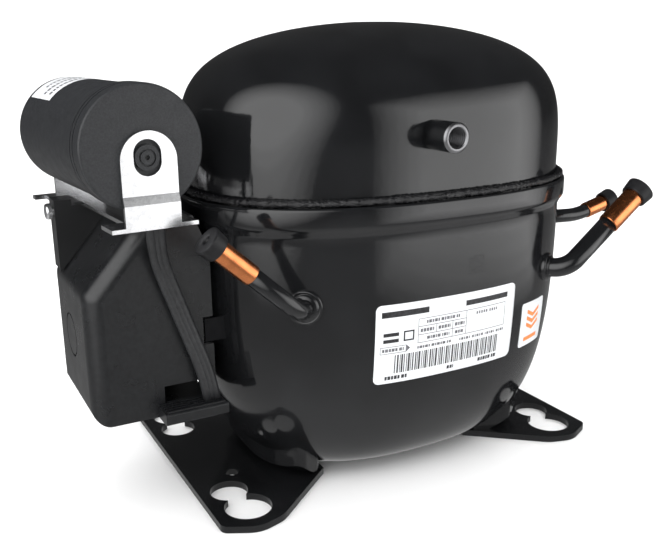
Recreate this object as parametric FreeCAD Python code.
import FreeCAD, Part
import os
from math import cos, sin, tan, radians, pi

# Hermetic reciprocating compressor, millimetres.
# +Z up, +X along the long axis towards the suction end, -Y is the rating-label side.
# The origin is the centre of the mounting-hole pattern on the underside of the feet.

# ---- shell -----------------------------------------------------------------
SHELL_X, SHELL_Y = 5.5, -5.0          # shell axis, off the hole pattern's centre
SEMI_A, SEMI_B = 90.0, 63.0           # upper shell outside half-length and half-width
CORNER_POWER = 2.46                   # superellipse power of the plan outline
LOWER_GROW = 1.67                     # lower shell is this much larger than the upper
SEAM_Z, TOP_Z, BOTTOM_Z = 132.0, 199.2, 1.5
WALL = 3.0
DOME_POWER, DOME_ROOT = 4.42, 1.92
BOWL_POWER, BOWL_ROOT = 3.48, 4.9
NEST_Z = 121.0                        # lower edge of the upper shell, inside the rim
RIM_Z0, RIM_Z1, RIM_Z2 = 117.6, 120.4, 128.8
RIM_GROW, RIM_GAP = 4.0, 0.3
OUTLINE_POINTS = 36

# ---- feet --------------------------------------------------------------------
PLATE_T = 3.0
OUTER_HOLE_X, OUTER_HOLE_Y, OUTER_HOLE_R = 82.55, 50.8, 10.1
INNER_HOLE_X, INNER_HOLE_Y, INNER_HOLE_R = 85.0, 35.0, 8.25
FOOT_PLAN = ((98.0, 60.5), (84, 67.5), (72, 64), (39.5, 37))     # half outline of each plate
FOOT_OUT, FOOT_ROOT_X = 98.0, 39.5
SMALL_HOLE_X, SMALL_HOLE_Y, SMALL_HOLE_R = 77.8, 20.5, 3.0
# pressed-up middle of each plate: half plan of its foot, one for each side of the shell
SADDLE_PLAN = {-1: ((64, 16), (61, 31), (55, 46), (42, 38)), 1: ((81, 29), (60, 47), (44, 38))}
SADDLE_TOP, SADDLE_GROW = 21.0, 4.5
SKIN_GAP = 0.02                       # welded-on parts stop this far from the shell's skin

# ---- tubes -------------------------------------------------------------------
TUBE_Z = 88.5
SUCTION_R, SUCTION_BORE_R = 5.0, 4.1
DISCHARGE_R, DISCHARGE_BORE_R = 4.2, 3.3
PROCESS_R, PROCESS_BORE_R = 4.0, 3.25
SLEEVE_STEP = 0.55                    # steel stub is this much thinner than its copper
SUCTION_ROOT, SUCTION_WAY = FreeCAD.Vector(68.8, -57.6, TUBE_Z), FreeCAD.Vector(0.55, -0.835, 0)
DISCHARGE_ROOT, DISCHARGE_WAY = FreeCAD.Vector(-57.8, -57.6, TUBE_Z), FreeCAD.Vector(-0.52, -0.854, 0)
PROCESS_ROOT, PROCESS_WAY = FreeCAD.Vector(95.2, -25.0, 103.6), FreeCAD.Vector(1, 0, -0.05)
SUCTION_SLEEVE, DISCHARGE_SLEEVE, PROCESS_SLEEVE = 22.3, 20.6, 15.8     # lengths of the copper ends
SOCKET_DEPTH, PUSHED_IN = 8.5, 7.5    # counterbore of a copper sleeve, and how far the stub goes in
CAP_SKIRT, CAP_HEAD = 3.5, 2.6        # rubber cap: length over the copper and length beyond it
BOSS_X, BOSS_Z, BOSS_R, BOSS_LEN = -4.0, 155.0, 6.0, 20.0
BOSS_OUT, THREAD_R, THREAD_LEN = 15.0, 3.8, 14.0

# ---- electrics ---------------------------------------------------------------
COVER_X0, COVER_X1 = -138.0, -86.7
COVER_Y, COVER_Z0, COVER_Z1, COVER_T = 30.0, 42.0, 125.0, 2.0
COVER_SHOULDER_Z, COVER_RIDGE_X0, COVER_RIDGE_X1 = 97.0, -113.5, -93.0
COVER_EAVES_Z = 110.0
EMBLEM_Y, EMBLEM_Z, EMBLEM_R = 2.0, 73.0, 9.5    # blank round recess on the cover's end
ARM_Y, ARM_TOP_Z = 11.5, 128.4
ARM_SCREW_Y, ARM_SCREW_Z = 15.5, 123.5
LEAD_R, LEAD_GAP, LEAD_CLEAR = 1.85, 1.91, 0.03
TERMINAL_Y, TERMINAL_Z = -5.0, 78.0
CAP_FACE = FreeCAD.Vector(-116.6, -50.0, 154.9)   # centre of the capacitor's near face
CAP_TURN = 4.7                        # degrees the capacitor is turned about +Z
CAP_R, CAP_CAN_R, CAP_LEN, CAP_COLLAR = 23.1, 22.4, 85.0, 12.0
ZINC_T, JOGGLE = 1.5, 1.1                # zinc strip, and how far its ears step outwards

# ---- pump and motor ----------------------------------------------------------
THROW = 11.4                          # crank radius, half the stroke
PISTON_FACE_X = -33.2                 # piston's face with the crank at its inner end of travel
BORE_R, FIT = 13.0, 0.03
CYL_Z = 150.0
SHAFT_R, PIN_R = 9.0, 6.0
STATOR_Z0, STATOR_Z1, STATOR_HALF = 36.0, 92.0, 48.0
ROTOR_R, AIR_GAP = 27.2, 0.6
DECK_Z0, DECK_Z1 = 108.0, 115.0
HUB_Z, WEB_Z0, WEB_Z1 = 129.0, 130.2, 137.0
PLATE_X = -57.3                       # cylinder's end face, where the valve plate seats
BORE_X1 = -20.8                       # open end of the cylinder bore
HEAD_DEPTH = 8.0
SPRING_X, SPRING_Y = 40.0, 31.0
SPRING_Z0, SPRING_LEN, SPRING_R = 12.5, 17.2, 6.9
SPRING_TURNS, SPRING_WIRE = 7, 1.6
BOLT_X = 39.5                         # the four long bolts that hold stator and crankcase together

V = FreeCAD.Vector
UP = V(0, 0, 1)
ALONG_X = V(1, 0, 0)
ALONG_Y = V(0, 1, 0)


# ---- small helpers -----------------------------------------------------------
def box(x0, x1, y0, y1, z0, z1):
    return Part.makeBox(x1 - x0, y1 - y0, z1 - z0, V(x0, y0, z0))


def rod(r, start, direction, length):
    return Part.makeCylinder(r, length, start, direction)


def post(r, x, y, z0, z1):
    return rod(r, V(x, y, z0), UP, z1 - z0)


def ring(r_out, r_in, start, direction, length):
    return rod(r_out, start, direction, length).cut(rod(r_in, start, direction, length))


def fused(shapes):
    first, rest = shapes[0], shapes[1:]
    return first.fuse(rest).removeSplitter() if rest else first


def rounded(shape, radius, wanted):
    """Round the edges for which wanted(edge) is true."""
    edges = [edge for edge in shape.Edges if wanted(edge)]
    return shape.makeFillet(radius, edges)


def upright(edge):
    ends = [vertex.Point for vertex in edge.Vertexes]
    flat = [p for p in ends if abs(p.x - ends[0].x) < 1e-6 and abs(p.y - ends[0].y) < 1e-6]
    return len(ends) == 2 and len(flat) == 2


def prism(points, z0, z1):
    """Upright prism from a plan outline."""
    wire = Part.makePolygon([V(x, y, z0) for x, y in points + points[:1]])
    return Part.Face(wire).extrude(V(0, 0, z1 - z0))


def side_prism(points, y0, y1):
    """Prism along Y from an outline in the XZ plane."""
    wire = Part.makePolygon([V(x, y0, z) for x, z in points + points[:1]])
    return Part.Face(wire).extrude(V(0, y1 - y0, 0))


def bend_radius(before, corner, after):
    run_a, run_b = corner - before, after - corner
    half = run_a.getAngle(run_b) / 2
    return 0.45 * min(run_a.Length, run_b.Length) / tan(half)


def route_wire(points):
    """Straight runs joined by tangent arcs."""
    edges, start = [], points[0]
    for before, corner, after in zip(points, points[1:], points[2:]):
        to_before = (before - corner).normalize()
        to_after = (after - corner).normalize()
        radius = bend_radius(before, corner, after)
        half = (pi - to_before.getAngle(to_after)) / 2
        setback = radius * tan(half)
        arc_a = corner + to_before * setback
        arc_b = corner + to_after * setback
        middle_way = (to_before + to_after).normalize()
        centre = corner + middle_way * (radius / cos(half))
        arc_m = centre - middle_way * radius
        if (arc_a - start).Length > 1e-4:
            edges.append(Part.LineSegment(start, arc_a).toShape())
        edges.append(Part.Arc(arc_a, arc_m, arc_b).toShape())
        start = arc_b
    edges.append(Part.LineSegment(start, points[-1]).toShape())
    return Part.Wire(edges)


def route_tube(name, points, radius, bore=0.0):
    """Tube along a route; prints its tightest bend and compares volume with section x length."""
    path = route_wire(points)
    first = points[0]
    along = (points[1] - first).normalize()
    tube = path.makePipeShell([Part.Wire(Part.makeCircle(radius, first, along))], True, True)
    area = pi * radius ** 2
    if bore:
        tube = tube.cut(path.makePipeShell([Part.Wire(Part.makeCircle(bore, first, along))], True, True))
        area -= pi * bore ** 2
    bends = [bend_radius(a, b, c) for a, b, c in zip(points, points[1:], points[2:])]
    print(name, "length", round(path.Length, 1), "volume ratio", round(tube.Volume / (area * path.Length), 4),
          "bend radii", [round(r, 1) for r in bends])
    return tube


# ---- shell forms -------------------------------------------------------------
def outline(half_a, half_b, z):
    """Closed smooth superellipse wire at height z about the shell's axis."""
    points = []
    for i in range(OUTLINE_POINTS):
        angle = 2 * pi * i / OUTLINE_POINTS
        c, s = cos(angle), sin(angle)
        x = half_a * abs(c) ** (2 / CORNER_POWER) * (1 if c >= 0 else -1)
        y = half_b * abs(s) ** (2 / CORNER_POWER) * (1 if s >= 0 else -1)
        points.append(V(SHELL_X + x, SHELL_Y + y, z))
    curve = Part.BSplineCurve()
    curve.interpolate(Points=points, PeriodicFlag=True)
    return Part.Wire(curve.toShape())


def slab(grow, z0, z1, grow_top=None):
    """Straight or evenly tapered stretch of the shell's outline."""
    top = grow if grow_top is None else grow_top
    wires = [outline(SEMI_A + grow, SEMI_B + grow, z0), outline(SEMI_A + top, SEMI_B + top, z1)]
    return Part.makeLoft(wires, True, True)


def dome(grow):
    """Upper shell's closed form above the seam."""
    rise = TOP_Z + grow - SEAM_Z
    wires = []
    for t in (0.0, 0.25, 0.45, 0.6, 0.72, 0.82, 0.89, 0.94, 0.972, 0.989, 0.9965):
        k = (1 - t ** DOME_POWER) ** (1 / DOME_ROOT)
        wires.append(outline((SEMI_A + grow) * k, (SEMI_B + grow) * k, SEAM_Z + rise * t))
    return Part.makeLoft(wires, True, False)


def bowl(grow):
    """Lower shell's closed form, from its bottom up to the seam."""
    drop = SEAM_Z - BOTTOM_Z + grow
    wires = []
    for t in (0.998, 0.99, 0.97, 0.935, 0.88, 0.8, 0.68, 0.53, 0.35, 0.16, 0.0):
        k = (1 - t ** BOWL_POWER) ** (1 / BOWL_ROOT)
        size_a = (SEMI_A + LOWER_GROW + grow) * k
        size_b = (SEMI_B + LOWER_GROW + grow) * k
        wires.append(outline(size_a, size_b, SEAM_Z - drop * t))
    return Part.makeLoft(wires, True, False)


def upper_shell():
    outer = dome(0.0).fuse(slab(0.0, NEST_Z, SEAM_Z))
    inner = dome(-WALL).fuse(slab(-WALL, NEST_Z - 1, SEAM_Z))
    boss_hole = rod(BOSS_R - 0.6, V(BOSS_X, SHELL_Y - SEMI_B - 5, BOSS_Z), ALONG_Y, 20)
    return outer.cut(inner).cut(boss_hole)


def keep_below(shape, z):
    return shape.common(box(-200, 200, -150, 150, -5, z))


def lower_shell():
    rim = slab(LOWER_GROW, RIM_Z0, RIM_Z1, RIM_GROW).fuse(slab(RIM_GROW, RIM_Z1, RIM_Z2))
    outer = keep_below(bowl(0.0), RIM_Z0).fuse(rim)
    seat = slab(RIM_GAP, NEST_Z - 0.5, RIM_Z2 + 1)
    inner = keep_below(bowl(-WALL), NEST_Z).fuse(seat)
    shape = outer.cut(inner)
    for start, direction, radius in tube_exits():
        shape = shape.cut(rod(radius, start - direction * 12, direction, 20))
    return shape.cut(rod(15.2, V(-100, TERMINAL_Y, TERMINAL_Z), ALONG_X, 40))


def seam_weld():
    """Fillet bead between the rim's top edge and the upper shell's wall."""
    bead = slab(RIM_GROW, RIM_Z2, RIM_Z2 + 1.2, 3.2).fuse(slab(3.2, RIM_Z2 + 1.2, SEAM_Z + 0.6, 0.9))
    return bead.cut(slab(SKIN_GAP, RIM_Z2 - 1, SEAM_Z + 2))


# ---- feet --------------------------------------------------------------------
def mirrored(half_plan, side):
    """Closed plan from its +Y half, on the given side of the origin."""
    points = list(half_plan) + [(x, -y) for x, y in reversed(half_plan)]
    return [(side * x, y) for x, y in points]


def foot(side):
    """One base plate: side is +1 for the suction end, -1 for the terminal end."""
    plate = prism(mirrored(FOOT_PLAN, side), 0, PLATE_T)
    plate = rounded(plate, 4.0, lambda e: upright(e) and abs(e.Vertexes[0].X) > FOOT_OUT - 1)
    plate = rounded(plate, 12.0, lambda e: upright(e) and FOOT_ROOT_X + 5 < abs(e.Vertexes[0].X) < FOOT_OUT - 6)
    for y_side in (1, -1):
        plate = plate.cut(post(OUTER_HOLE_R, side * OUTER_HOLE_X, y_side * OUTER_HOLE_Y, -1, 9))
        plate = plate.cut(post(INNER_HOLE_R, side * INNER_HOLE_X, y_side * INNER_HOLE_Y, -1, 9))
    plate = plate.cut(post(SMALL_HOLE_R, side * SMALL_HOLE_X, -SMALL_HOLE_Y, -1, 9))
    saddle_area = prism(mirrored(SADDLE_PLAN[side], side), 0.5, SADDLE_TOP)
    saddle_area = rounded(saddle_area, 4.0, upright)
    saddle = bowl(SADDLE_GROW).common(saddle_area).cut(bowl(SKIN_GAP))
    body = plate.cut(bowl(SKIN_GAP)).fuse(saddle)
    return max(body.removeSplitter().Solids, key=lambda solid: solid.Volume)


# ---- tubes and boss ----------------------------------------------------------
def tube_exits():
    return [(SUCTION_ROOT, SUCTION_WAY, SUCTION_R - SLEEVE_STEP + 0.1),
            (DISCHARGE_ROOT, DISCHARGE_WAY, DISCHARGE_R - SLEEVE_STEP + 0.1),
            (PROCESS_ROOT, PROCESS_WAY, PROCESS_R - SLEEVE_STEP + 0.1)]


def rising(direction_x, slope_deg):
    return V(direction_x * cos(radians(slope_deg)), 0, sin(radians(slope_deg)))


def suction_line():
    elbow = SUCTION_ROOT + SUCTION_WAY * 9.0
    way = rising(1, 37.5)
    return [SUCTION_ROOT - SUCTION_WAY * 6, elbow, elbow + way * 38], way


def discharge_line():
    elbow = DISCHARGE_ROOT + DISCHARGE_WAY * 9.0
    way = rising(-1, 42.2)
    return [DISCHARGE_ROOT - DISCHARGE_WAY * 6, elbow, elbow + way * 35.5], way


def process_line():
    elbow = PROCESS_ROOT + PROCESS_WAY * 21.8
    way = rising(1, 14.5)
    return [PROCESS_ROOT - PROCESS_WAY * 6, elbow, elbow + way * 13.7], way


def sleeve(line, r_out, r_in, length):
    """Copper connector pushed over the steel stub's end."""
    points, way = line
    start = points[-1] - way * PUSHED_IN
    socket = rod(r_out - SLEEVE_STEP + 0.01, start - way, way, SOCKET_DEPTH)
    return rod(r_out, start, way, length).cut(rod(r_in, start - way, way, length + 2)).cut(socket)


def plug(line, r_out, length):
    """Rubber transport cap: a slightly flared cup over the copper end, with a blind dimple."""
    points, way = line
    mouth = points[-1] + way * (length - PUSHED_IN)
    cup = Part.makeCone(r_out + 1.1, r_out + 1.8, CAP_SKIRT + CAP_HEAD, mouth - way * CAP_SKIRT, way)
    socket = rod(r_out + 0.05, mouth - way * (CAP_SKIRT + 1), way, CAP_SKIRT + 1.1)
    dimple = rod(1.6, mouth + way * 1.2, way, 4)
    return cup.cut(socket).cut(dimple)


def weld_rings():
    rings = []
    for (root, way, radius), outer in zip(tube_exits(), (6.4, 7.1, 5.2)):
        collar = Part.makeCone(outer + 0.6, radius + 0.9, 3.2, root - way * 1.6, way)
        rings.append(collar.cut(rod(radius + 0.02, root - way * 6, way, 14)).cut(bowl(SKIN_GAP)))
    return Part.makeCompound([max(r.Solids, key=lambda s: s.Volume) for r in rings])


def threaded_boss():
    start = V(BOSS_X, SHELL_Y - SEMI_B - BOSS_OUT, BOSS_Z)
    body = rod(BOSS_R, start, ALONG_Y, BOSS_LEN)
    neck = rod(BOSS_R - 0.7, start + ALONG_Y * 12, ALONG_Y, 8)
    body = fused([body.common(rod(BOSS_R, start, ALONG_Y, 14.6)), neck])
    rim = [e for e in body.Edges if abs(e.BoundBox.YMax - start.y) < 1e-6]
    return body.makeChamfer(0.8, rim).cut(rod(THREAD_R, start - ALONG_Y, ALONG_Y, THREAD_LEN + 1))


# ---- terminal, relay and cover ------------------------------------------------
def terminal_parts():
    wall_x = SHELL_X - SEMI_A - 1.0
    cup = rod(15.0, V(wall_x - 1.2, TERMINAL_Y, TERMINAL_Z), ALONG_X, 3.4)
    beads, pins = [], []
    for i in range(3):
        angle = radians(90 + 120 * i)
        y = TERMINAL_Y + 7.5 * cos(angle)
        z = TERMINAL_Z + 7.5 * sin(angle)
        cup = cup.cut(rod(3.2, V(wall_x - 3, y, z), ALONG_X, 8))
        beads.append(ring(3.2, 1.2, V(wall_x - 1.6, y, z), ALONG_X, 4.2))
        pins.append(rod(1.19, V(wall_x - 15, y, z), ALONG_X, 27))
    return cup, Part.makeCompound(beads), Part.makeCompound(pins)


def start_relay():
    shape = box(-107, -89.5, TERMINAL_Y - 17, TERMINAL_Y + 17, 62, 96)
    shape = rounded(shape, 3.0, lambda e: abs(e.Length - 17.5) < 1e-6)
    return shape.cut(box(-92, -88, TERMINAL_Y - 12, TERMINAL_Y + 12, 66, 92))


def relay_sockets(relay):
    for i in range(3):
        angle = radians(90 + 120 * i)
        y = TERMINAL_Y + 7.5 * cos(angle)
        z = TERMINAL_Z + 7.5 * sin(angle)
        relay = relay.cut(rod(1.4, V(-103, y, z), ALONG_X, 20))
    return relay


def overload_protector():
    body = rod(13.0, V(-124, 2, 60), ALONG_X, 14)
    face = rod(10.0, V(-126, 2, 60), ALONG_X, 2)
    tabs = [box(-133, -126, y, y + 1, 57, 63) for y in (-3, 6)]
    return fused([body, face] + tabs)


def cover_outline(inset):
    left, right = COVER_X0 + inset, COVER_X1
    return [(right, COVER_Z0 + inset), (left, COVER_Z0 + inset), (left, COVER_SHOULDER_Z - inset * 0.4),
            (COVER_RIDGE_X0 + inset * 0.4, COVER_Z1 - inset), (COVER_RIDGE_X1, COVER_Z1 - inset),
            (right, COVER_EAVES_Z - inset * 0.4)]


def terminal_cover():
    """Moulded cover, open towards the shell."""
    outer = side_prism(cover_outline(0), -COVER_Y, COVER_Y)
    outer = rounded(outer, 7.0, lambda e: e.BoundBox.XMax < COVER_RIDGE_X0 + 0.1)
    depth = COVER_Y - COVER_T
    points = cover_outline(COVER_T)
    points[0] = (COVER_X1 + 1, points[0][1])
    points[-1] = (COVER_X1 + 1, points[-1][1])
    inner = side_prism(points, -depth, depth)
    inner = rounded(inner, 5.0, lambda e: e.BoundBox.XMax < COVER_RIDGE_X0 + 1)
    shape = outer.cut(inner)
    shape = shape.cut(box(-109, COVER_X1 + 1, -COVER_Y - 1, -COVER_Y + 3, 47.4, 55))
    shape = shape.cut(box(-91, COVER_X1 + 1, -COVER_Y - 1, -COVER_Y + 3, 70, 82))
    shape = shape.cut(box(-91, COVER_X1 + 1, COVER_Y - 3, COVER_Y + 1, 70, 82))
    groove = ring(EMBLEM_R, EMBLEM_R - 0.8, V(COVER_X0 - 1, EMBLEM_Y, EMBLEM_Z), ALONG_X, 1.5)
    return shape.cut(groove)


def cover_clips():
    """Two steel fence tabs on the shell that the cover's notches snap over."""
    tabs = []
    for y in (-COVER_Y + 0.4, COVER_Y - 1.4):
        tab = box(-90.2, -79.5, y, y + 1.0, 71, 81)
        barb = box(-90.2, -88.6, y - 0.3, y + 1.2, 72.5, 79.5)
        tabs.append(fused([tab, barb]).cut(bowl(SKIN_GAP)))
    return Part.makeCompound([max(tab.Solids, key=lambda s: s.Volume) for tab in tabs])


def strain_relief():
    shelf = box(-112, -85.2, -40.5, -30.1, 42, 47)
    shelf = rounded(shelf, 1.0, lambda e: e.Length > 20 and e.BoundBox.YMax < -40)
    ribs = [box(-111, -86.2, -39.4 + 2.0 * i, -38.5 + 2.0 * i, 46.9, 47.7) for i in range(5)]
    shape = fused([shelf] + ribs)
    for core in lead_cores(LEAD_R + LEAD_CLEAR):
        shape = shape.cut(core)
    return shape.cut(post(1.7, -98.5, -35.0, 44.5, 49))


def clamp_screw():
    head = post(1.6, -98.5, -35.0, 44.6, 46.0)
    return head.cut(box(-99.9, -97.1, -35.2, -34.8, 45.4, 46.1))


# ---- capacitor and its bracket --------------------------------------------------
def placed(shape):
    """Move a shape from the capacitor's own frame (axis +Y from its near face) into place."""
    shape = shape.copy()
    shape.rotate(V(0, 0, 0), UP, CAP_TURN)
    shape.translate(CAP_FACE)
    return shape


def capacitor_can():
    body = rod(CAP_CAN_R, V(0, CAP_COLLAR, 0), ALONG_Y, CAP_LEN - CAP_COLLAR)
    far = [e for e in body.Edges if abs(e.BoundBox.YMin - CAP_LEN) < 1e-6]
    return placed(body.makeFillet(1.8, far))


def capacitor_end_cap():
    body = rod(CAP_R, V(0, 0, 0), ALONG_Y, CAP_COLLAR)
    near = [e for e in body.Edges if abs(e.BoundBox.YMax) < 1e-6]
    body = body.makeFillet(1.0, near)
    for y in (6.0, 9.0):
        body = body.cut(ring(CAP_R + 1, CAP_R - 0.5, V(0, y, 0), ALONG_Y, 0.8))
    boss = rod(4.6, V(0.9, -1.6, -3.0), ALONG_Y, 1.8)
    boss = boss.cut(ring(3.2, 2.5, V(0.9, -2, -3.0), ALONG_Y, 1.0)).cut(rod(0.9, V(0.9, -2, -3.0), ALONG_Y, 1.4))
    cap = placed(fused([body, boss]))
    for core in lead_cores(LEAD_R + LEAD_CLEAR):
        cap = cap.cut(core)
    return cap


def capacitor_bracket():
    """Bent zinc strip: a base plate with an ear at each end of the capacitor."""
    z0 = -28.9
    plate = box(-14.4, 18.6, -2.8, CAP_LEN + 2.8, z0, z0 + ZINC_T)
    pieces = [plate, box(-19.0, -14.0, CAP_LEN - 1.5, CAP_LEN + 2.8, z0, z0 + ZINC_T)]
    for face_y, outward in ((-0.2, -1), (CAP_LEN + 0.2, 1)):
        inner, outer, top = face_y + outward * JOGGLE, face_y + outward * ZINC_T, -4.1
        profile = [(face_y, top), (outer, top), (outer, -16.4), (outer + outward * JOGGLE, -19.6),
                   (outer + outward * JOGGLE, z0), (inner, z0), (inner, -20.2), (face_y, -17.0)]
        wire = Part.makePolygon([V(-9.2, y, z) for y, z in profile + profile[:1]])
        near = min(face_y, outer)
        pieces += [Part.Face(wire).extrude(V(21.2, 0, 0)), rod(10.6, V(1.4, near, top), ALONG_Y, ZINC_T)]
    shape = fused(pieces)
    for centre_z in (-4.4, -1.6):
        shape = shape.cut(rod(5.2, V(0.9, -4, centre_z), ALONG_Y, CAP_LEN + 8))
    shape = shape.cut(box(-4.3, 6.1, -4, CAP_LEN + 8, -4.4, -1.6))
    arm_notch = box(-15.0, -6.0, 9.0, CAP_LEN - 6, z0 - 1, z0 + 3)
    return placed(shape.cut(box(0.5, 10.0, 4.0, 12.0, z0 - 1, z0 + 3)).cut(arm_notch))


def bracket_arm():
    """Black sheet-steel arm that hangs the bracket off the cover's screw."""
    x0, x1, under = -138.4, -131.3, 125.9
    gusset = side_prism([(x0, 97.6), (x0, ARM_TOP_Z), (x1, ARM_TOP_Z), (x1, under), (-114.0, under),
                         (-114.0, 125.3)], ARM_Y, ARM_Y + 1.5)
    lip = box(x0, x0 + 1.5, ARM_Y, 22.0, 99.0, ARM_TOP_Z)
    lid = box(x0, x1, ARM_Y, 22.0, ARM_TOP_Z - 1.5, ARM_TOP_Z)
    shelf = box(x1, -114.0, ARM_Y, 30.0, 125.2, under)
    shape = fused([gusset, lip, lid, shelf])
    return shape.cut(rod(1.7, V(x0 - 2, ARM_SCREW_Y, ARM_SCREW_Z), ALONG_X, 6))


def arm_screw():
    x0 = -141.6
    head = rod(3.4, V(x0, ARM_SCREW_Y, ARM_SCREW_Z), ALONG_X, 2.4)
    near = [e for e in head.Edges if abs(e.BoundBox.XMax - x0) < 1e-6]
    head = head.makeFillet(1.1, near)
    slots = [box(x0 - 0.4, x0 + 0.8, ARM_SCREW_Y - y, ARM_SCREW_Y + y, ARM_SCREW_Z - z, ARM_SCREW_Z + z)
             for y, z in ((0.4, 1.9), (1.9, 0.4))]
    shank = rod(1.65, V(x0 + 2.3, ARM_SCREW_Y, ARM_SCREW_Z), ALONG_X, 6)
    return fused([head, shank]).cut(slots[0]).cut(slots[1])


def lead_route(offset):
    """One core of the twin lead, from the capacitor's cap to the clamp on the cover."""
    return [V(-112.0 + offset, -43.0, 132.5), V(-111.6 + offset, -41.0, 121.0), V(-108.6 + offset, -34.0, 108.0),
            V(-100.4 + offset, -33.2, 84.0), V(-92.4 + offset, -34.2, 60.0), V(-89.6 + offset, -34.2, 43.5)]


def lead_cores(radius):
    return [route_tube("lead core", lead_route(offset), radius) for offset in (-LEAD_GAP, LEAD_GAP)]


def capacitor_lead():
    return Part.makeCompound(lead_cores(LEAD_R))


# ---- labels ----------------------------------------------------------------------
def skin_patch(x0, x1, z0, z1, corner):
    """Thin label following the lower shell's front."""
    window = box(x0, x1, -100, SHELL_Y, z0, z1)
    window = rounded(window, corner, lambda e: abs(e.Length - (100 + SHELL_Y)) < 1e-6)
    return bowl(0.27).cut(bowl(SKIN_GAP)).common(window)


# ---- motor -----------------------------------------------------------------------
def at_axis(shape):
    shape = shape.copy()
    shape.translate(V(SHELL_X, SHELL_Y, 0))
    return shape


def stator_core():
    h, c = STATOR_HALF, 13.0
    points = [(h, h - c), (h - c, h), (c - h, h), (-h, h - c), (-h, c - h), (c - h, -h), (h - c, -h), (h, c - h)]
    core = prism(points, STATOR_Z0, STATOR_Z1)
    core = core.cut(post(ROTOR_R + AIR_GAP, 0, 0, 0, 200))
    for i in range(24):
        slot = box(ROTOR_R + 2.4, 41, -1.7, 1.7, STATOR_Z0 - 1, STATOR_Z1 + 1)
        slot.rotate(V(0, 0, 0), UP, 15 * i + 7.5)
        core = core.cut(slot)
    for x, y in corners(BOLT_X, BOLT_X):
        core = core.cut(post(2.6, x, y, 0, 200))
    return at_axis(core)


def corners(x, y):
    return [(x, y), (-x, y), (-x, -y), (x, -y)]


def winding(z0, z1):
    """End turns of the stator winding."""
    body = ring(42.0, 30.0, V(0, 0, z0), UP, z1 - z0)
    rims = [e for e in body.Edges if abs(e.Length - 2 * pi * 42.0) < 1e-3 or abs(e.Length - 2 * pi * 30.0) < 1e-3]
    return at_axis(body.makeFillet(3.0, rims))


def rotor_core():
    core = ring(ROTOR_R, SHAFT_R, V(0, 0, STATOR_Z0), UP, STATOR_Z1 - STATOR_Z0)
    return at_axis(core)


def rotor_rings():
    rings = [ring(26.0, 15.0, V(0, 0, z), UP, 5.0) for z in (STATOR_Z0 - 5, STATOR_Z1)]
    blades = [rod(1.6, V(20 * cos(radians(a)), 20 * sin(radians(a)), STATOR_Z1 + 5), UP, 4)
              for a in range(0, 360, 60)]
    return at_axis(Part.makeCompound([rings[0], fused([rings[1]] + blades)]))


# ---- crank mechanism ---------------------------------------------------------------
def crankshaft():
    shaft = post(SHAFT_R, 0, 0, 26, WEB_Z0)
    web = post(17.6, 0, 0, WEB_Z0, WEB_Z1).fuse(post(9.5, THROW, 0, WEB_Z0, WEB_Z1))
    weight = post(24.0, 0, 0, WEB_Z0, WEB_Z1).common(box(-30, -4, -30, 30, 100, 200))
    pin = post(PIN_R, THROW, 0, WEB_Z1, 163)
    shape = fused([shaft, web, weight, pin])
    gallery = post(2.0, THROW / 2, 0, 20, WEB_Z1 - 1.5)
    feed = post(1.2, THROW, 0, WEB_Z0 + 1.5, 165)
    return at_axis(shape.cut(gallery).cut(feed))


def gallery_ball():
    ball = Part.makeSphere(1.8, V(THROW / 2, 0, WEB_Z0 + 2.5))
    return at_axis(ball)


def slide_block():
    block = box(THROW - 9.0, THROW + 9.0, -9.0, 9.0, 141, 159)
    return at_axis(block.cut(post(PIN_R + FIT, THROW, 0, 100, 200)))


def piston_yoke():
    """Piston and slotted yoke in one piece, with the crank at its inner end of travel."""
    gap = FIT
    frame = box(THROW - 14.0, THROW + 14.0, -25.5, 25.5, 140, 160)
    frame = rounded(frame, 4.0, upright)
    slot = box(THROW - 9.0 - gap, THROW + 9.0 + gap, -20.8, 20.8, 100, 200)
    face_x = PISTON_FACE_X - SHELL_X
    piston = rod(BORE_R - FIT, V(face_x, 0, CYL_Z), ALONG_X, THROW - 13.0 - face_x)
    shape = fused([frame, piston]).cut(slot)
    for x in (face_x + 3.0, face_x + 7.0):
        shape = shape.cut(ring(BORE_R + 1, BORE_R - 0.9, V(x, 0, CYL_Z), ALONG_X, 1.5))
    return at_axis(shape)


def piston_rings():
    face_x = PISTON_FACE_X - SHELL_X
    rings = [ring(BORE_R - 0.01, BORE_R - 0.88, V(x + 0.1, 0, CYL_Z), ALONG_X, 1.3)
             for x in (face_x + 3.0, face_x + 7.0)]
    return at_axis(Part.makeCompound(rings))


def crankcase():
    deck = prism([(56, 30), (38, 47), (-44, 47), (-56, 30), (-56, -30), (-44, -47), (38, -47), (56, -30)],
                 DECK_Z0, DECK_Z1)
    deck = deck.cut(post(43.0, 0, 0, 0, DECK_Z1 - 2.5))
    hub = post(15.0, 0, 0, DECK_Z1 - 8, HUB_Z)
    legs = [post(6.0, x, y, STATOR_Z1, DECK_Z1) for x, y in corners(BOLT_X, BOLT_X)]
    x0, x1 = PLATE_X - SHELL_X, BORE_X1 - SHELL_X
    barrel = box(x0, x1, -20, 20, DECK_Z1 - 3, 170)
    barrel = rounded(barrel, 6.0, lambda e: abs(e.Length - (x1 - x0)) < 1e-6 and e.BoundBox.ZMin > 160)
    shape = fused([deck, hub, barrel] + legs)
    shape = shape.cut(rod(BORE_R, V(x0 - 1, 0, CYL_Z), ALONG_X, x1 - x0 + 2))
    shape = shape.cut(post(SHAFT_R + FIT, 0, 0, 60, 200))
    for x, y in corners(BOLT_X, BOLT_X):
        shape = shape.cut(post(2.6, x, y, 60, DECK_Z1 + 1))
    for y, z in corners(15.5, 15.5):
        shape = shape.cut(rod(2.0, V(x0 - 1, y, CYL_Z + z), ALONG_X, 18))
    return at_axis(shape)


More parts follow.
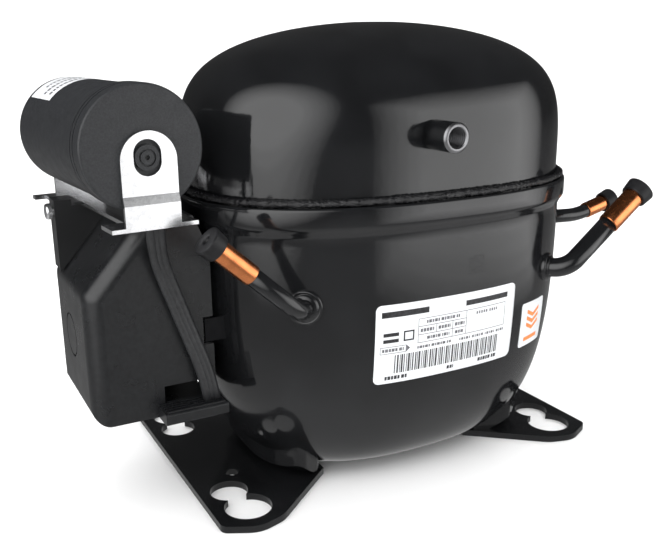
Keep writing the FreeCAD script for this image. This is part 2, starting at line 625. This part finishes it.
def head_layer(thickness, start, holes):
    """One flat layer of the cylinder-head stack; start is its distance from the bore's end face."""
    x1 = PLATE_X - SHELL_X - start
    layer = box(x1 - thickness, x1, -20, 20, CYL_Z - 20, CYL_Z + 20)
    layer = rounded(layer, 6.0, lambda e: abs(e.Length - thickness) < 1e-6)
    for y, z in corners(15.5, 15.5):
        layer = layer.cut(rod(2.1, V(x1 - thickness - 1, y, CYL_Z + z), ALONG_X, thickness + 2))
    for y, z, radius in holes:
        layer = layer.cut(rod(radius, V(x1 - thickness - 1, y, CYL_Z + z), ALONG_X, thickness + 2))
    return at_axis(layer)


def head_gasket():
    return head_layer(0.6, 0.0, [(0, 0, BORE_R + 0.3)])


def valve_plate():
    return head_layer(3.0, 0.6, [(-5, 0, 3.0), (5, 0, 2.6)])


def reed(y, side_x, length):
    x = PLATE_X - SHELL_X - side_x
    tongue = box(x, x + 0.2, y - 3.6, y + 3.6, CYL_Z - length, CYL_Z + 4.5)
    tongue = rounded(tongue, 3.4, lambda e: abs(e.Length - 0.2) < 1e-6 and e.BoundBox.ZMin > CYL_Z)
    return at_axis(tongue)


def cylinder_head():
    x1 = PLATE_X - SHELL_X - 3.6
    x0 = x1 - HEAD_DEPTH
    head = box(x0, x1, -20, 20, CYL_Z - 20, CYL_Z + 20)
    head = rounded(head, 6.0, lambda e: abs(e.Length - HEAD_DEPTH) < 1e-6)
    head = head.cut(box(x0 + 2.5, x1 + 1, 1.0, 12, CYL_Z - 12, CYL_Z + 12))
    head = head.cut(box(x0 + 2.5, x1 + 1, -12, -1.0, CYL_Z - 12, CYL_Z + 12))
    for y, z in corners(15.5, 15.5):
        head = head.cut(rod(2.1, V(x0 - 1, y, CYL_Z + z), ALONG_X, HEAD_DEPTH + 2))
    return at_axis(head)


def head_bolts():
    x = PLATE_X - SHELL_X - 3.6 - HEAD_DEPTH
    bolts = []
    for y, z in corners(15.5, 15.5):
        shank = rod(1.95, V(x, y, CYL_Z + z), ALONG_X, HEAD_DEPTH + 19)
        head = rod(3.6, V(x - 2.5, y, CYL_Z + z), ALONG_X, 2.5)
        socket = rod(1.5, V(x - 2.6, y, CYL_Z + z), ALONG_X, 1.6)
        bolts.append(fused([shank, head]).cut(socket))
    return at_axis(Part.makeCompound(bolts))


def stator_bolts():
    bolts = []
    for x, y in corners(BOLT_X, BOLT_X):
        shank = post(2.5, x, y, STATOR_Z0 - 3, DECK_Z1)
        head = post(4.5, x, y, STATOR_Z0 - 4.2, STATOR_Z0)
        bolts.append(fused([shank, head]))
    return at_axis(Part.makeCompound(bolts))


def suction_muffler():
    shape = box(-50, -27.5, -42, -21, DECK_Z1 + 0.1, 158)
    shape = rounded(shape, 4.0, lambda e: True)
    return at_axis(shape)


def discharge_muffler():
    can = post(13.0, 40, 22, DECK_Z1 + 0.1, 140)
    return at_axis(can.makeFillet(3.0, [e for e in can.Edges if abs(e.Length - 2 * pi * 13) < 1e-3]))


def discharge_loop():
    """Bundy tube that carries the gas from the pump's muffler to the shell's stub."""
    points = [V(59.0, 17, 128), V(71.0, 17, 126), V(75.0, 4, 108), V(75.0, -14, 84), V(70.0, -36, 66),
              V(52.0, -54.5, 62), V(18.0, -61.0, 62), V(-18.0, -61.0, 66), V(-40.0, -58.0, 76),
              V(-49.5, -52.0, 86)]
    return route_tube("discharge loop", points, 2.0)


def springs():
    """Four suspension springs, each a closed sleeve with one ripple for every turn of wire."""
    pitch = SPRING_LEN / SPRING_TURNS
    bore = SPRING_R - SPRING_WIRE
    profile = [V(bore, 0, 0)]
    for i in range(SPRING_TURNS):
        profile += [V(SPRING_R - 0.7, 0, pitch * i), V(SPRING_R, 0, pitch * (i + 0.3)),
                    V(SPRING_R, 0, pitch * (i + 0.7))]
    profile += [V(SPRING_R - 0.7, 0, SPRING_LEN), V(bore, 0, SPRING_LEN), V(bore, 0, 0)]
    coil = Part.Face(Part.makePolygon(profile)).revolve(V(0, 0, 0), UP, 360)
    coils = []
    for x, y in corners(SPRING_X, SPRING_Y):
        one = coil.copy()
        one.translate(V(x, y, SPRING_Z0))
        coils.append(one)
    return at_axis(Part.makeCompound(coils))


def lower_seats():
    studs = []
    for x, y in corners(SPRING_X, SPRING_Y):
        studs.append(fused([post(4.4, x, y, 4.0, 19), post(8.0, x, y, 4.0, SPRING_Z0)]))
    shape = at_axis(Part.makeCompound(studs))
    return Part.makeCompound([stud.common(bowl(-WALL - SKIN_GAP)) for stud in shape.Solids])


def upper_seats():
    studs = []
    top = STATOR_Z0 - 4.3
    for x, y in corners(SPRING_X, SPRING_Y):
        studs.append(fused([post(4.4, x, y, 25, top), post(8.0, x, y, SPRING_Z0 + SPRING_LEN, top)]))
    return at_axis(Part.makeCompound(studs))


def oil_pickup():
    cup = post(6.0, 0, 0, 8.0, 26).cut(post(4.8, 0, 0, 7, 24)).cut(post(3.0, 0, 0, 20, 30))
    return at_axis(cup)


def thrust_washer():
    return at_axis(ring(14.0, SHAFT_R + 0.2, V(0, 0, HUB_Z), UP, 1.0))


def motor_plug():
    x = SHELL_X - SEMI_A + 12.0
    body = box(x, x + 10, TERMINAL_Y - 13, TERMINAL_Y + 13, TERMINAL_Z - 13, TERMINAL_Z + 13)
    body = rounded(body, 2.5, lambda e: abs(e.Length - 10) < 1e-6)
    for i in range(3):
        angle = radians(90 + 120 * i)
        y = TERMINAL_Y + 7.5 * cos(angle)
        z = TERMINAL_Z + 7.5 * sin(angle)
        body = body.cut(rod(1.25, V(x - 1, y, z), ALONG_X, 12))
    return body


# ---- all nodes --------------------------------------------------------------------
def build():
    nodes = {
        "lower_shell": lower_shell(),
        "upper_shell": upper_shell(),
        "seam_weld": seam_weld(),
        "left_foot": foot(-1),
        "right_foot": foot(1),
        "threaded_boss": threaded_boss(),
        "tube_weld_rings": weld_rings(),
        "rating_label": skin_patch(-30.0, 42.4, 51.8, 87.2, 2.5),
        "info_label": skin_patch(49.3, 68.0, 53.0, 74.8, 1.5),
        "terminal_cover": terminal_cover(),
        "cover_clips": cover_clips(),
        "start_relay": relay_sockets(start_relay()),
        "overload_protector": overload_protector(),
        "strain_relief": strain_relief(),
        "clamp_screw": clamp_screw(),
        "capacitor_can": capacitor_can(),
        "capacitor_end_cap": capacitor_end_cap(),
        "capacitor_bracket": capacitor_bracket(),
        "capacitor_lead": capacitor_lead(),
        "bracket_arm": bracket_arm(),
        "arm_screw": arm_screw(),
        "stator_core": stator_core(),
        "upper_winding": winding(STATOR_Z1 + 0.1, STATOR_Z1 + 13),
        "lower_winding": winding(STATOR_Z0 - 11, STATOR_Z0 - 0.1),
        "rotor_core": rotor_core(),
        "rotor_rings": rotor_rings(),
        "crankshaft": crankshaft(),
        "gallery_ball": gallery_ball(),
        "oil_pickup": oil_pickup(),
        "thrust_washer": thrust_washer(),
        "slide_block": slide_block(),
        "piston_yoke": piston_yoke(),
        "piston_rings": piston_rings(),
        "crankcase": crankcase(),
        "head_gasket": head_gasket(),
        "valve_plate": valve_plate(),
        "suction_reed": reed(-5, 0.5, 9.5),
        "discharge_reed": reed(5, 3.9, 9.5),
        "cylinder_head": cylinder_head(),
        "head_bolts": head_bolts(),
        "stator_bolts": stator_bolts(),
        "suction_muffler": suction_muffler(),
        "discharge_muffler": discharge_muffler(),
        "discharge_loop": discharge_loop(),
        "suspension_springs": springs(),
        "lower_spring_seats": lower_seats(),
        "upper_spring_seats": upper_seats(),
        "motor_plug": motor_plug(),
    }
    terminal = terminal_parts()
    nodes.update(zip(("terminal_body", "terminal_glass", "terminal_pins"), terminal))
    lines = {"suction": (suction_line(), SUCTION_R, SUCTION_BORE_R, SUCTION_SLEEVE),
             "discharge": (discharge_line(), DISCHARGE_R, DISCHARGE_BORE_R, DISCHARGE_SLEEVE),
             "process": (process_line(), PROCESS_R, PROCESS_BORE_R, PROCESS_SLEEVE)}
    for name, (line, radius, bore, length) in lines.items():
        nodes[name + "_tube"] = route_tube(name + " stub", line[0], radius - SLEEVE_STEP, bore - SLEEVE_STEP)
        nodes[name + "_sleeve"] = sleeve(line, radius, bore, length)
        nodes[name + "_plug"] = plug(line, radius, length)
    return nodes


os.makedirs("parts", exist_ok=True)
for node, shape in build().items():
    if not shape.isValid() or not shape.Solids:
        print("NOT VALID:", node)
    shape.exportStep("parts/" + node + ".step")
    box_ = shape.BoundBox
    print(node, len(shape.Solids), "vol", round(shape.Volume), "x", round(box_.XMin, 1), round(box_.XMax, 1),
          "y", round(box_.YMin, 1), round(box_.YMax, 1), "z", round(box_.ZMin, 1), round(box_.ZMax, 1))
